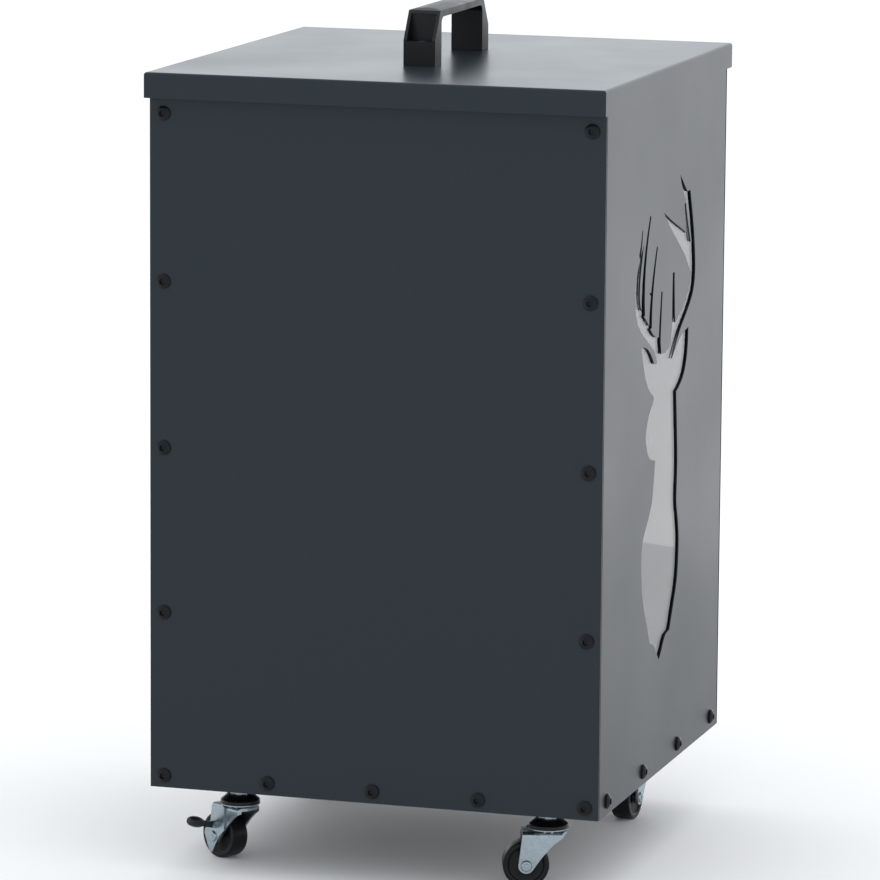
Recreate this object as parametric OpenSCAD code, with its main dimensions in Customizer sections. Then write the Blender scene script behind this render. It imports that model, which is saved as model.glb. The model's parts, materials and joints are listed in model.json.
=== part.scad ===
// Storage bin for wood pellets: a sheet steel box on four swivel castors,
// with a lift-off lid and a stag's head cut out in front of a clear pane.
// The origin is on the floor under the middle of the bin.
// +Z is up, the stag faces -Y, and +X is to its right.

/* [Bin] */
// Width across the two side panels
body_w = 330; // [300:5:380]
// Depth from the front face to the rear face
body_d = 330; // [300:5:380]
// Height of the panels, from their bottom edge to the rim under the lid
body_h = 508.8; // [470:0.2:600]
// Height of the panels' bottom edge above the floor
floor_gap = 61.5; // [60:0.5:64]
// Thickness of the sheet steel
sheet_t = 1; // [1:0.1:1.5]
// Inner radius of every fold
fold_r = 1; // [0.6:0.1:1.4]
// Width of the upright flanges that the side panels are screwed to
side_flange = 22; // [19:1:30]
// Width of the rim folded inwards along the top
rim_w = 12; // [9:1:16]
// Height of the floor tray's turned-up edge
tray_edge = 20; // [17:1:30]
// Play between the folded edges of neighbouring sheets
fold_gap = 0.5; // [0.2:0.1:1]

/* [Screws] */
// Distance of the side screws from the panel's upright edges
side_inset = 10; // [9:0.5:12]
// Height of the side panels' lowest screws above the bottom edge
side_low = 8.5; // [8:0.5:10]
// Distance of the side panels' highest screws below the rim
side_high = 28.1; // [24:0.1:40]
// Number of screws up each edge of a side panel
side_rows = 5; // [3:1:7]
// Number of screws along the bottom of a side panel
side_columns = 5; // [3:1:7]
// Distance of the outer front and rear screws from the panel's ends
end_inset = 21.5; // [20:0.5:30]
// Height of the front and rear screws above the bottom edge
end_low = 9.6; // [9:0.1:11]
// Number of screws along the bottom of the front and of the rear
end_columns = 4; // [2:1:6]
// Diameter of the screw shank
screw_d = 6; // [5:0.5:6]
// Length of a panel screw under its head
screw_len = 11; // [10:0.5:13]
// Diameter of the button head
head_d = 10.5; // [9.5:0.1:11.5]
// Height of the button head
head_h = 3.3; // [2.8:0.1:3.6]
// Width of the hexagon socket across its flats
socket_af = 4; // [3:0.5:4.5]
// Width of a nut across its flats
nut_af = 10; // [9.5:0.5:11]
// Height of a nut
nut_h = 5; // [4:0.5:6]
// Play of a screw in its hole, on the diameter
hole_play = 0.6; // [0.3:0.1:1]

/* [Window] */
// Height of the stag's lowest point above the bottom edge
stag_up = 83; // [70:1:110]
// Thickness of the clear pane
pane_t = 3; // [2:0.5:4]
// Overlap of the pane round the stag
pane_lap = 17; // [14:1:22]
// Thickness of the foam seal between pane and front
seal_t = 0.3; // [0.2:0.1:1]
// Width of the foam seal
seal_w = 8; // [6:1:10]
// Number of clips down each side of the pane
clip_rows = 3; // [2:1:4]
// Width of a clip, measured up the pane
clip_w = 20; // [14:1:26]
// Thickness of a clip
clip_t = 1.5; // [1:0.1:2]
// Distance of a clip's stud from the pane's edge
stud_off = 8; // [7:0.5:10]
// Diameter of the welded studs
stud_d = 4; // [3.5:0.5:4]

/* [Lid] */
// Overhang of the lid beyond each side panel
lid_over_side = 8.3; // [3:0.1:12]
// Play between the lid's skirt and the front and rear faces
lid_play = 0.5; // [0.4:0.1:1.5]
// Height of the lid's skirt
skirt_h = 18; // [12:0.5:22]

/* [Handle] */
// Length of the handle over its feet
handle_len = 130.4; // [120:0.2:150]
// Width of the handle
handle_w = 23.4; // [20:0.2:28]
// Height of the handle at its crown
handle_h = 39.7; // [36:0.1:46]
// Rise of the crown over the edges of the grip
crown = 1.7; // [0.8:0.1:2.5]
// Height of the upright part of a leg
leg_upright = 18; // [15:0.5:20]
// Inward lean of a leg's outer face above its upright part
leg_lean = 12.5; // [8:0.5:13]
// Thickness of a leg at its foot
leg_foot = 15.4; // [14:0.1:18]
// Thickness of the grip at its edges
grip_t = 4.6; // [3.5:0.1:6]
// Distance of the handle's screws from its ends
handle_screw_inset = 6.7; // [6:0.1:8]
// Wall left round the open pocket in a leg
pocket_wall = 2.4; // [1.8:0.1:3]
// Height of the foot that the screw head sits in
foot_h = 17; // [14:0.5:18]
// Diameter of the handle screw's head
cap_head_d = 10; // [9:0.5:10.5]
// Height of the handle screw's head
cap_head_h = 4; // [3:0.5:5]

/* [Castors] */
// Distance of a castor's stem from the bin's edges
castor_inset = 50; // [40:1:65]
// Diameter of the wheel
wheel_d = 33; // [30:0.5:34]
// Width of the wheel over its tread
wheel_w = 14.6; // [13:0.1:16]
// Distance of the axle behind the stem
trail = 16; // [15:0.5:17]
// Diameter of the axle
axle_d = 4; // [3.5:0.1:5]
// Diameter of the axle's riveted heads
rivet_d = 8.4; // [7.5:0.1:9]
// Radius of the rounded end of a fork leg
leg_end_r = 5.6; // [5:0.1:6.5]
// Thickness of the fork's plate
fork_t = 2; // [1.6:0.1:2.4]
// Gap between the tread's side and the fork leg
wheel_gap = 1.2; // [0.8:0.1:1.6]
// Gap between the top of the wheel and the fork
crown_gap = 5.6; // [5:0.1:6.2]
// Radius of the fork's round head
race_r = 13.6; // [12.5:0.1:13.8]
// Thickness of the race
race_t = 1.6; // [1.4:0.1:2]
// Gap between the fork and the race, bridged by the balls
race_gap = 1.3; // [1:0.1:1.6]
// Diameter of the bearing balls
ball_d = 2.4; // [2.2:0.1:2.8]
// Number of balls in a race
ball_count = 12; // [8:1:16]
// Diameter of the king pin
pin_d = 8; // [7:0.5:8.5]
// Diameter of the threaded stem
stem_d = 8; // [7:0.5:8]
// Width of the stem's hexagon and of its nuts across the flats
stem_af = 13; // [12:0.5:13]
// Height of the stem's hexagon
stem_hex_h = 5.5; // [4:0.5:6]
// Height of a stem nut
stem_nut_h = 5.5; // [4.5:0.5:5.5]
// Diameter of the stem washers
washer_d = 24; // [20:1:30]
// Thickness of a washer
washer_t = 1.6; // [1.2:0.1:2]
// Radius of the dust cap and of the race's lip under it
cap_r = 14.3; // [14:0.1:15.5]
// Running clearance on the radius of a pin in its bore
run_gap = 0.05; // [0.03:0.01:0.09]
// Turn of the front left castor at rest
turn_fl = 109; // [0:1:359]
// Turn of the rear left castor at rest
turn_rl = 61; // [0:1:359]
// Turn of the front right castor at rest
turn_fr = 176; // [0:1:359]
// Turn of the rear right castor at rest
turn_rr = 140; // [0:1:359]

/* [Brakes] */
// Thickness of the brake plate
brake_t = 1.5; // [1.2:0.1:2]
// Distance of the pedal's hinge from the brake plate
hinge_off = 2.4; // [2.2:0.1:3]
// Height of the pedal's hinge above the floor
pedal_up = 25.5; // [24:0.5:27]
// Distance of the pedal's middle ahead of the axle
pedal_back = -1.5; // [-3:0.5:1]
// Reach of the pedal from the middle of the castor
pedal_reach = 37.5; // [32:0.5:40]
// Length of the black pedal pad
pad_len = 13.5; // [11:0.5:15]
// Height of the pedal pad
pad_h = 8; // [6:0.5:9]
// Depth of the pedal pad
pad_d = 8; // [7:0.5:10]
// Side of the front left castor that its brake is on
brake_side_fl = -1; // [-1:2:1]
// Side of the rear left castor that its brake is on
brake_side_rl = 1; // [-1:2:1]
// Tilt of the front left pedal at rest, which is up
tilt_fl = 17; // [0:1:18]
// Tilt of the rear left pedal at rest, which is up
tilt_rl = 17; // [0:1:18]

/* [Hidden] */

$fn = 48;
eps = 0.02;            // small overlap that keeps joined solids whole
past = 5;              // how far a cutter runs past what it cuts

// Levels of the bin
bend_r = fold_r + sheet_t;
body_top = floor_gap + body_h;
lid_top = body_top + sheet_t;
hole_d = screw_d + hole_play;
lap_w = body_w - 2 * sheet_t;
lap_d = body_d - 2 * sheet_t;

// Colours
coat = [0.20, 0.215, 0.24];
black = [0.06, 0.06, 0.065];
zinc = [0.72, 0.74, 0.75];

// The stag's cut-out. Points are [across, up, corner]: across from the middle
// of the panel, up from the lowest point, and 1 where the outline turns sharply.
stag_left = -85;
stag_right = 80;
stag_top = 345.5;
head_outline = [
  [-7, 0, 1], [-13, 5, 0], [-22, 13.5, 0], [-33, 17, 0], [-39, 27, 0], [-48, 41, 0],
  [-56, 58, 0], [-59, 80, 0], [-56, 95, 0], [-43, 107, 0], [-32, 120, 0], [-27, 138, 0],
  [-25, 148, 1], [-41, 152, 0], [-49, 161, 0], [-51.5, 171, 0], [-44, 183, 0],
  [-33, 190.5, 0], [-32, 195.5, 0], [-43, 200.5, 0], [-55, 212, 0], [-62, 225, 0],
  [-66, 235, 1], [-52, 232.5, 0], [-40, 226, 0], [-31, 218.5, 0], [-23, 217.5, 1],
  [-15, 223, 1], [0, 222, 0], [9, 224, 0], [17, 215, 1], [30, 221.5, 0], [45, 228.5, 0],
  [63, 231.5, 1], [61, 214, 0], [53, 200, 0], [42, 193, 0], [31, 189, 1], [34, 166, 0],
  [37, 137, 0], [35.8, 109, 0], [40, 96, 0], [44, 78, 0], [41, 52, 0], [31, 33, 0],
  [21, 16.5, 1], [9, 14.5, 0], [0, 6, 0]];
left_beam = [
  [-23, 217.5, 1], [-29, 225.5, 0], [-44, 234, 0], [-62, 243, 0], [-76, 252, 0],
  [-84, 264, 0], [-84, 280, 0], [-77, 294, 0], [-63, 308, 1], [-69.5, 292, 0],
  [-73, 278, 0], [-71.5, 266, 0], [-64, 258.5, 0], [-50, 250, 0], [-38, 241.5, 0],
  [-26, 236.5, 0], [-17, 235, 0], [-13, 226, 0], [-12, 214, 1]];
right_beam = [
  [17, 215, 1], [38, 232, 0], [60, 244.5, 0], [75, 256, 0], [80, 270, 0], [78, 288, 0],
  [72, 309, 0], [63, 331, 1], [55, 331, 1], [34, 345.5, 1], [38, 338.5, 0], [48, 328, 0],
  [58, 314, 0], [68.5, 293.5, 0], [70.5, 281, 0], [70.5, 271, 0], [64, 261, 0],
  [48, 249, 0], [31, 241.5, 0], [18, 238, 0], [14.5, 229, 0], [7, 222, 0], [6, 212, 1]];
long_tine = [
  [-11, 324, 1], [20, 312.5, 0], [53, 301.5, 0], [64, 293.5, 1], [73, 292, 1],
  [73, 268, 1], [67, 271.5, 0], [52, 284, 0], [30, 298, 0], [8, 311, 0]];
// Each tine: foot, middle handle of its curve, tip, width at the foot, width at the tip
tines = [
  [[-63, 256], [-67, 290], [-46, 325.5], 9.5, 3],
  [[-43, 245], [-44, 268], [-27, 301.5], 8, 3],
  [[-18, 221], [-17, 245], [-12.6, 267.5], 6.4, 3.4],
  [[-75, 300], [-70, 304], [-67.5, 318], 5, 2],
  [[-38, 268.5], [-43, 269.5], [-50, 271.5], 2.4, 0.8],
  [[21.5, 236], [19.5, 250], [19.2, 277], 9, 5],
  [[63, 290], [55, 304], [48.5, 323], 8.5, 3.6]];

// Window
pane_w = stag_right - stag_left + 2 * pane_lap;
pane_h = stag_top + 2 * pane_lap;
pane_x = (stag_left + stag_right) / 2;
pane_z = floor_gap + stag_up + stag_top / 2;
web_in = -body_d / 2 + sheet_t;          // inner face of the front panel
pane_front = web_in + seal_t;
clip_foot = 6;                           // clip beyond its stud
clip_lip = 9;                            // clip over the pane
clip_space = 0.4;                        // play between clip and pane edge
stud_nut_af = 7;
stud_nut_h = 3.2;
stud_len = clip_t + stud_nut_h + 1.5;

// Castor places, and levels above the floor
castor_x = body_w / 2 - castor_inset;
castor_y = body_d / 2 - castor_inset;
wheel_r = wheel_d / 2;
hub_gap = 0.1;
leg_in = wheel_w / 2 + wheel_gap;
leg_out = leg_in + fork_t;
fork_under = wheel_d + crown_gap;
fork_top = fork_under + fork_t;
race_low = fork_top + race_gap;
race_top = race_low + race_t;
ball_z = fork_top + race_gap / 2;
ball_ring = race_r - 4;
neck_r = 5;
hex_low = race_top + 3.6;
hex_top = hex_low + stem_hex_h;
rivet_h = 1.3;
lip_t = 0.7;                             // race's lip under the dust cap
cap_inner = cap_r - 1.3;                 // race inside the dust cap's wall
fit_gap = 0.15;
fork_nose = race_r - 0.6;                // fork ahead of the stem
fork_tail = trail + 2.7;                 // fork's rear corner behind the stem
cap_rim = race_top + 1.6;
cap_dome = race_top + 5.6;
stem_top = floor_gap + sheet_t + 2 * washer_t + stem_nut_h + 1.5;

// Brake: a plate on the outside of one leg, with a pedal hinged on it
plate_in = leg_out + 0.1;
plate_out = plate_in + brake_t;
plate_top = fork_top + 0.5;
plate_front = trail - 12;
plate_rear = trail + 0.5;
hinge_d = 2;
knuckle_r = hinge_d / 2 + 0.9;
ear_w = 1.6;
pin_past = 0.6;                          // hinge pin beyond each ear
hinge_y = plate_out + hinge_off;
hinge_z = pedal_up;
pedal_x = trail + pedal_back;

// Curve through outline points, straight at the corners
function turn_at(p, i) =
  let (n = len(p), a = p[(i + n - 1) % n], b = p[(i + 1) % n])
  p[i][2] == 1 ? [0, 0] : [b[0] - a[0], b[1] - a[1]] / 2;
function on_curve(a, b, ta, tb, t) =
  (2 * pow(t, 3) - 3 * pow(t, 2) + 1) * a + (pow(t, 3) - 2 * pow(t, 2) + t) * ta
  + (3 * pow(t, 2) - 2 * pow(t, 3)) * b + (pow(t, 3) - pow(t, 2)) * tb;
function smooth(p, steps) = [
  for (i = [0 : len(p) - 1], k = [0 : steps - 1])
    let (j = (i + 1) % len(p))
    on_curve([p[i][0], p[i][1]], [p[j][0], p[j][1]], turn_at(p, i), turn_at(p, j), k / steps)];

// Tapered stroke along a curve with one middle handle
function bow(a, m, b, t) = pow(1 - t, 2) * a + 2 * t * (1 - t) * m + pow(t, 2) * b;
function aside(a, m, b, t) =
  let (d = 2 * (1 - t) * (m - a) + 2 * t * (b - m)) [-d[1], d[0]] / norm(d);
function stroke(s, steps) = concat(
  [for (k = [0 : steps]) let (t = k / steps)
    bow(s[0], s[1], s[2], t) + aside(s[0], s[1], s[2], t) * (s[3] + (s[4] - s[3]) * t) / 2],
  [for (k = [steps : -1 : 0]) let (t = k / steps)
    bow(s[0], s[1], s[2], t) - aside(s[0], s[1], s[2], t) * (s[3] + (s[4] - s[3]) * t) / 2]);

module stag_cut() {
  translate([0, web_in + past, floor_gap + stag_up]) rotate([90, 0, 0]) {
    linear_extrude(sheet_t + 2 * past) polygon(smooth(head_outline, 3));
    linear_extrude(sheet_t + 2 * past) polygon(smooth(left_beam, 3));
    linear_extrude(sheet_t + 2 * past) polygon(smooth(right_beam, 3));
    linear_extrude(sheet_t + 2 * past) polygon(smooth(long_tine, 3));
    for (s = tines) linear_extrude(sheet_t + 2 * past) polygon(stroke(s, 6));
  }
}

// Block with two rounded lower corners, the inside or outside of a channel
module fold_block(w, h, r) {
  translate([-w / 2, r]) square([w, h - r]);
  translate([-w / 2 + r, 0]) square([w - 2 * r, h]);
  for (s = [-1, 1]) translate([s * (w / 2 - r), r]) circle(r = r);
}

// Channel folded from sheet: w wide outside, its flanges h high
module channel(w, h, length) {
  linear_extrude(length) difference() {
    fold_block(w, h, bend_r);
    translate([0, sheet_t]) fold_block(w - 2 * sheet_t, h, fold_r);
  }
}

// Rim folded inwards, from the end of its bend up; inwards is +X of the profile
module rim(length) {
  translate([0, 0, -length / 2]) linear_extrude(length) difference() {
    union() {
      translate([bend_r, 0]) square([rim_w - bend_r, bend_r]);
      intersection() {
        translate([bend_r, 0]) circle(r = bend_r);
        square([bend_r, bend_r]);
      }
    }
    translate([bend_r, 0]) circle(r = fold_r);
    translate([bend_r, -past]) square([rim_w, past + fold_r]);
  }
}

// Screw places: side panels as [depth, height], ends as [across, height]
side_step = (body_h - side_low - side_high) / (side_rows - 1);
row_step = (body_d - 2 * side_inset) / (side_columns - 1);
end_step = (body_w - 2 * end_inset) / (end_columns - 1);
side_edge_places = [
  for (s = [-1, 1], k = [0 : side_rows - 1])
    [s * (body_d / 2 - side_inset), floor_gap + side_low + k * side_step]];
side_bottom_places = [
  for (k = [1 : side_columns - 2]) [-body_d / 2 + side_inset + k * row_step, floor_gap + side_low]];
side_places = concat(side_edge_places, side_bottom_places);
end_places = [
  for (k = [0 : end_columns - 1]) [-body_w / 2 + end_inset + k * end_step, floor_gap + end_low]];

// Holes through the side panels and what lies behind them
module side_holes(places) {
  for (p = places) translate([-body_w / 2 - past, p[0], p[1]])
    rotate([0, 90, 0]) cylinder(d = hole_d, h = body_w + 2 * past);
}
module end_holes() {
  for (p = end_places) translate([p[0], body_d / 2 + past, p[1]])
    rotate([90, 0, 0]) cylinder(d = hole_d, h = body_d + 2 * past);
}

// Front or rear wall, its face towards -Y
module end_wall() {
  difference() {
    union() {
      translate([0, -body_d / 2, floor_gap]) channel(lap_w, side_flange, body_h - bend_r);
      translate([0, -body_d / 2, body_top - bend_r]) rotate([90, 0, 90])
        rim(body_w - 2 * (rim_w + fold_gap));
    }
    side_holes(side_edge_places);
    end_holes();
  }
}

module front_panel() {
  color(coat) {
    difference() {
      end_wall();
      stag_cut();
    }
    for (p = clip_places)
      translate([p[0], web_in - eps, p[1]]) rotate([-90, 0, 0]) cylinder(d = stud_d, h = stud_len + eps);
  }
}

module rear_panel() {
  color(coat) mirror([0, 1, 0]) end_wall();
}

module side_panel() {
  difference() {
    union() {
      translate([-body_w / 2, -body_d / 2, floor_gap]) cube([sheet_t, body_d, body_h - bend_r]);
      translate([-body_w / 2, 0, body_top - bend_r]) rotate([90, 0, 0]) rim(body_d - 2 * bend_r);
    }
    side_holes(side_places);
  }
}

module left_side_panel() {
  color(coat) side_panel();
}

module right_side_panel() {
  color(coat) mirror([1, 0, 0]) side_panel();
}

module floor_tray() {
  across = body_d - 2 * (side_flange + fold_gap);
  along = lap_w - 2 * (bend_r + fold_gap);
  color(coat) difference() {
    union() {
      translate([0, across / 2, floor_gap]) rotate([90, 0, 0]) channel(lap_w, tray_edge, across);
      translate([-along / 2, 0, floor_gap]) rotate([90, 0, 90]) channel(lap_d, tray_edge, along);
    }
    side_holes(side_bottom_places);
    end_holes();
    for (sx = [-1, 1], sy = [-1, 1]) translate([sx * castor_x, sy * castor_y, floor_gap - past])
      cylinder(d = stem_d + hole_play, h = 2 * past);
  }
}

// Window pane, its seal, clips and nuts
clip_step = (pane_h - 2 * clip_w) / (clip_rows - 1);
clip_places = [
  for (s = [-1, 1], k = [0 : clip_rows - 1])
    [pane_x + s * (pane_w / 2 + stud_off), pane_z - pane_h / 2 + clip_w + k * clip_step, s]];

module window_pane() {
  color([0.75, 0.78, 0.8, 0.5])
    translate([pane_x - pane_w / 2, pane_front, pane_z - pane_h / 2]) cube([pane_w, pane_t, pane_h]);
}

module window_seal() {
  color(black) difference() {
    translate([pane_x - pane_w / 2, web_in, pane_z - pane_h / 2]) cube([pane_w, seal_t, pane_h]);
    translate([pane_x - pane_w / 2 + seal_w, web_in - past, pane_z - pane_h / 2 + seal_w])
      cube([pane_w - 2 * seal_w, 2 * past, pane_h - 2 * seal_w]);
  }
}

// Clip drawn for the right edge of the pane, its stud at the origin
module clip() {
  step = seal_t + pane_t;
  foot = stud_off - clip_space;
  difference() {
    linear_extrude(clip_w, center = true) polygon([
      [clip_foot, 0], [clip_foot, clip_t], [-foot + clip_t, clip_t], [-foot + clip_t, step + clip_t],
      [-stud_off - clip_lip, step + clip_t], [-stud_off - clip_lip, step], [-foot, step], [-foot, 0]]);
    translate([0, -past, 0]) rotate([-90, 0, 0]) cylinder(d = stud_d + hole_play, h = 2 * past + clip_t);
  }
}

module window_clips() {
  color(zinc) for (p = clip_places)
    translate([p[0], web_in, p[1]]) mirror([p[2] < 0 ? 1 : 0, 0, 0]) clip();
}

// Hexagon nut standing on its face, its upper edges chamfered
module nut(af, h, bore) {
  difference() {
    intersection() {
      cylinder(d = af / cos(30), h = h, $fn = 6);
      union() {
        cylinder(d = af / cos(30) + 1, h = h - af * 0.06);
        translate([0, 0, h - af * 0.06])
          cylinder(d1 = af / cos(30), d2 = af * 0.95, h = af * 0.06);
      }
    }
    translate([0, 0, -past]) cylinder(d = bore, h = h + 2 * past);
  }
}

module window_clip_nuts() {
  color(zinc) for (p = clip_places)
    translate([p[0], web_in + clip_t, p[1]]) rotate([-90, 0, 0])
      nut(stud_nut_af, stud_nut_h, stud_d + 2 * run_gap);
}

// Button head screw: the head above z = 0, the shank below it
module button_screw() {
  dome_h = head_h * 0.62;
  dome_r = (pow(head_d / 2, 2) + pow(dome_h, 2)) / (2 * dome_h);
  socket_depth = head_h * 0.62;
  difference() {
    intersection() {
      cylinder(d = head_d, h = head_h);
      translate([0, 0, head_h - dome_r]) sphere(r = dome_r, $fn = 64);
    }
    translate([0, 0, head_h - socket_depth]) cylinder(d = socket_af / cos(30), h = past, $fn = 6);
  }
  translate([0, 0, -screw_len]) cylinder(d = screw_d, h = screw_len + eps);
}

module side_screws() {
  for (p = side_places) translate([-body_w / 2, p[0], p[1]]) rotate([0, -90, 0]) button_screw();
}
module side_nuts() {
  for (p = side_places) translate([-body_w / 2 + 2 * sheet_t, p[0], p[1]]) rotate([0, 90, 0])
    nut(nut_af, nut_h, screw_d + 2 * run_gap);
}
module end_screws() {
  for (p = end_places) translate([p[0], -body_d / 2, p[1]]) rotate([90, 0, 0]) button_screw();
}
module end_nuts() {
  for (p = end_places) translate([p[0], -body_d / 2 + 2 * sheet_t, p[1]]) rotate([-90, 0, 0])
    nut(nut_af, nut_h, screw_d + 2 * run_gap);
}

module left_side_screws() {
  color(black) side_screws();
}
module left_side_nuts() {
  color(zinc) side_nuts();
}
module right_side_screws() {
  color(black) mirror([1, 0, 0]) side_screws();
}
module right_side_nuts() {
  color(zinc) mirror([1, 0, 0]) side_nuts();
}
module front_screws() {
  color(black) end_screws();
}
module front_nuts() {
  color(zinc) end_nuts();
}
module rear_screws() {
  color(black) mirror([0, 1, 0]) end_screws();
}
module rear_nuts() {
  color(zinc) mirror([0, 1, 0]) end_nuts();
}

// Lid: a folded pan with closed corners
lid_w = body_w + 2 * lid_over_side;
lid_d = body_d + 2 * (lid_play + sheet_t);
module pan_block(w, d, h, r) {
  intersection() {
    translate([0, d / 2, 0]) rotate([90, 0, 0]) linear_extrude(d) mirror([0, 1, 0]) fold_block(w, h, r);
    translate([-w / 2, 0, 0]) rotate([90, 0, 90]) linear_extrude(w) mirror([0, 1, 0]) fold_block(d, h, r);
  }
}
module lid() {
  color(coat) difference() {
    translate([0, 0, lid_top]) pan_block(lid_w, lid_d, skirt_h, bend_r);
    translate([0, 0, lid_top - sheet_t])
      pan_block(lid_w - 2 * sheet_t, lid_d - 2 * sheet_t, skirt_h + past, fold_r);
    for (s = [-1, 1]) translate([s * handle_pitch / 2, 0, lid_top - past])
      cylinder(d = hole_d, h = 2 * past);
  }
}

// Handle: a bridge with a crowned grip and hollow legs
handle_pitch = handle_len - 2 * handle_screw_inset;
grip_edge = handle_h - crown;
grip_under = grip_edge - grip_t;
leg_inner = handle_len / 2 - leg_foot;
crown_r = (pow(handle_w / 2, 2) + pow(crown, 2)) / (2 * crown);
inner_r = 5;
screw_seat = foot_h - cap_head_h - 0.5;

module handle_side() {
  difference() {
    polygon([
      [-handle_len / 2, 0], [-handle_len / 2, leg_upright],
      [-handle_len / 2 + leg_lean, grip_edge], [-handle_len / 2 + leg_lean + 4, handle_h],
      [handle_len / 2 - leg_lean - 4, handle_h], [handle_len / 2 - leg_lean, grip_edge],
      [handle_len / 2, leg_upright], [handle_len / 2, 0]]);
    translate([-leg_inner, -past]) square([2 * leg_inner, grip_under - inner_r + past]);
    translate([-leg_inner + inner_r, 0]) square([2 * (leg_inner - inner_r), grip_under]);
    for (s = [-1, 1]) translate([s * (leg_inner - inner_r), grip_under - inner_r]) circle(r = inner_r);
  }
}

module handle() {
  color(black) translate([0, 0, lid_top]) difference() {
    intersection() {
      translate([0, handle_w / 2, 0]) rotate([90, 0, 0]) linear_extrude(handle_w) handle_side();
      translate([-handle_len / 2 - past, 0, handle_h - crown_r]) rotate([0, 90, 0])
        cylinder(r = crown_r, h = handle_len + 2 * past, $fn = 96);
    }
    for (s = [-1, 1]) mirror([s < 0 ? 1 : 0, 0, 0]) {
      translate([leg_inner + 3, -handle_w / 2 + pocket_wall, foot_h])
        cube([leg_foot + past, handle_w - 2 * pocket_wall, grip_edge - 2.2 - foot_h]);
      translate([handle_pitch / 2, 0, screw_seat]) cylinder(d = cap_head_d + hole_play, h = past + foot_h);
      translate([handle_pitch / 2, 0, -past]) cylinder(d = hole_d, h = past + foot_h);
    }
  }
}

module handle_screws() {
  grip_len = screw_seat + sheet_t + washer_t + nut_h + 1.5;
  color(zinc) for (s = [-1, 1]) translate([s * handle_pitch / 2, 0, lid_top + screw_seat]) {
    difference() {
      cylinder(d = cap_head_d, h = cap_head_h);
      translate([0, 0, cap_head_h * 0.4]) cylinder(d = (socket_af + 1) / cos(30), h = past, $fn = 6);
    }
    translate([0, 0, -grip_len]) cylinder(d = screw_d, h = grip_len + eps);
  }
}

module handle_washers() {
  color(zinc) for (s = [-1, 1]) translate([s * handle_pitch / 2, 0, lid_top - sheet_t - washer_t])
    difference() {
      cylinder(d = 2 * screw_d + 6, h = washer_t);
      translate([0, 0, -past]) cylinder(d = hole_d, h = 2 * past + washer_t);
    }
}

module handle_nuts() {
  color(zinc) for (s = [-1, 1])
    translate([s * handle_pitch / 2, 0, lid_top - sheet_t - washer_t]) rotate([180, 0, 0])
      nut(nut_af, nut_h, screw_d + 2 * run_gap);
}

// Castor pieces are drawn with the stem at the origin and the wheel trailing to +X
module at_castor(sx, sy, turn) {
  translate([sx * castor_x, sy * castor_y, 0]) rotate([0, 0, turn]) children();
}

module castor_stem() {
  color(zinc) difference() {
    union() {
      rotate_extrude() polygon([
        [0, fork_under - 1.6], [pin_d / 2 + 2, fork_under - 1.6], [pin_d / 2 + 2.4, fork_under - 0.3],
        [pin_d / 2, fork_under - 0.3], [pin_d / 2, race_low], [cap_r, race_low],
        [cap_r, race_low + lip_t], [cap_inner, race_low + lip_t], [cap_inner, race_top],
        [neck_r, race_top], [neck_r, hex_low + eps], [0, hex_low + eps]]);
      translate([0, 0, hex_low]) cylinder(d = stem_af / cos(30), h = stem_hex_h, $fn = 6);
      translate([0, 0, hex_top - eps]) cylinder(d = stem_d, h = stem_top - 0.8 - hex_top + eps);
      translate([0, 0, stem_top - 0.8 - eps]) cylinder(d1 = stem_d, d2 = stem_d - 1.6, h = 0.8 + eps);
    }
    ball_groove();
  }
}

module ball_groove() {
  rotate_extrude() translate([ball_ring, ball_z]) circle(d = ball_d + 2 * run_gap, $fn = 32);
}

module castor_nuts() {
  bore = stem_d + 2 * run_gap;
  color(zinc) {
    for (z = [floor_gap - washer_t, floor_gap + sheet_t]) translate([0, 0, z]) difference() {
      cylinder(d = washer_d, h = washer_t);
      translate([0, 0, -past]) cylinder(d = stem_d + hole_play, h = 2 * past + washer_t);
    }
    translate([0, 0, floor_gap - washer_t]) rotate([180, 0, 0]) nut(stem_af, stem_nut_h, bore);
    translate([0, 0, floor_gap + sheet_t + washer_t]) nut(stem_af, stem_nut_h, bore);
  }
}

module castor_balls() {
  color(zinc) for (k = [0 : ball_count - 1]) rotate([0, 0, 360 / ball_count * k])
    translate([ball_ring, 0, ball_z]) sphere(d = ball_d, $fn = 24);
}

// Dust cap: a dome over the race with a well for the stem's hexagon
module castor_cap() {
  well_r = stem_af / 2 / cos(30) + 0.4;
  web = hex_low - 1.3;
  color(black) rotate_extrude() polygon([
    [cap_inner + fit_gap, race_low + lip_t], [cap_r - 0.2, race_low + lip_t],
    [cap_r - 0.1, race_low + lip_t + 0.2], [cap_r - 0.1, cap_rim],
    [cap_r - 0.5, cap_rim + 0.6], [well_r + 1.9, cap_dome - 0.3], [well_r + 1.3, cap_dome],
    [well_r + 0.7, cap_dome - 0.3], [well_r, hex_low], [neck_r + run_gap, hex_low],
    [neck_r + run_gap, web], [well_r + 0.5, web], [cap_inner - 0.9, race_top + 0.3],
    [cap_inner + fit_gap, race_top + 0.1]]);
}

// Side view of a fork leg: straight behind, hollowed in front, round at the axle
module leg_side() {
  low = [trail - leg_end_r * cos(35), wheel_r - leg_end_r * sin(35)];
  knee = [-3, fork_under - 3.5];
  nose = [-fork_nose, fork_under - 1.2];
  polygon(concat(
    [[fork_tail, fork_top], [trail + leg_end_r, wheel_r]],
    [for (a = [-5 : -10 : -140]) [trail + leg_end_r * cos(a), wheel_r + leg_end_r * sin(a)]],
    [for (t = [0 : 0.125 : 1]) let (q = bow(low, knee, nose, t)) q],
    [[-fork_nose, fork_top]]));
}

module fork_section() {
  difference() {
    translate([0, fork_top]) mirror([0, 1]) fold_block(2 * leg_out, fork_top + past, 3);
    translate([0, fork_under]) mirror([0, 1]) fold_block(2 * leg_in, fork_top + 2 * past, 1.2);
  }
}

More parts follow.
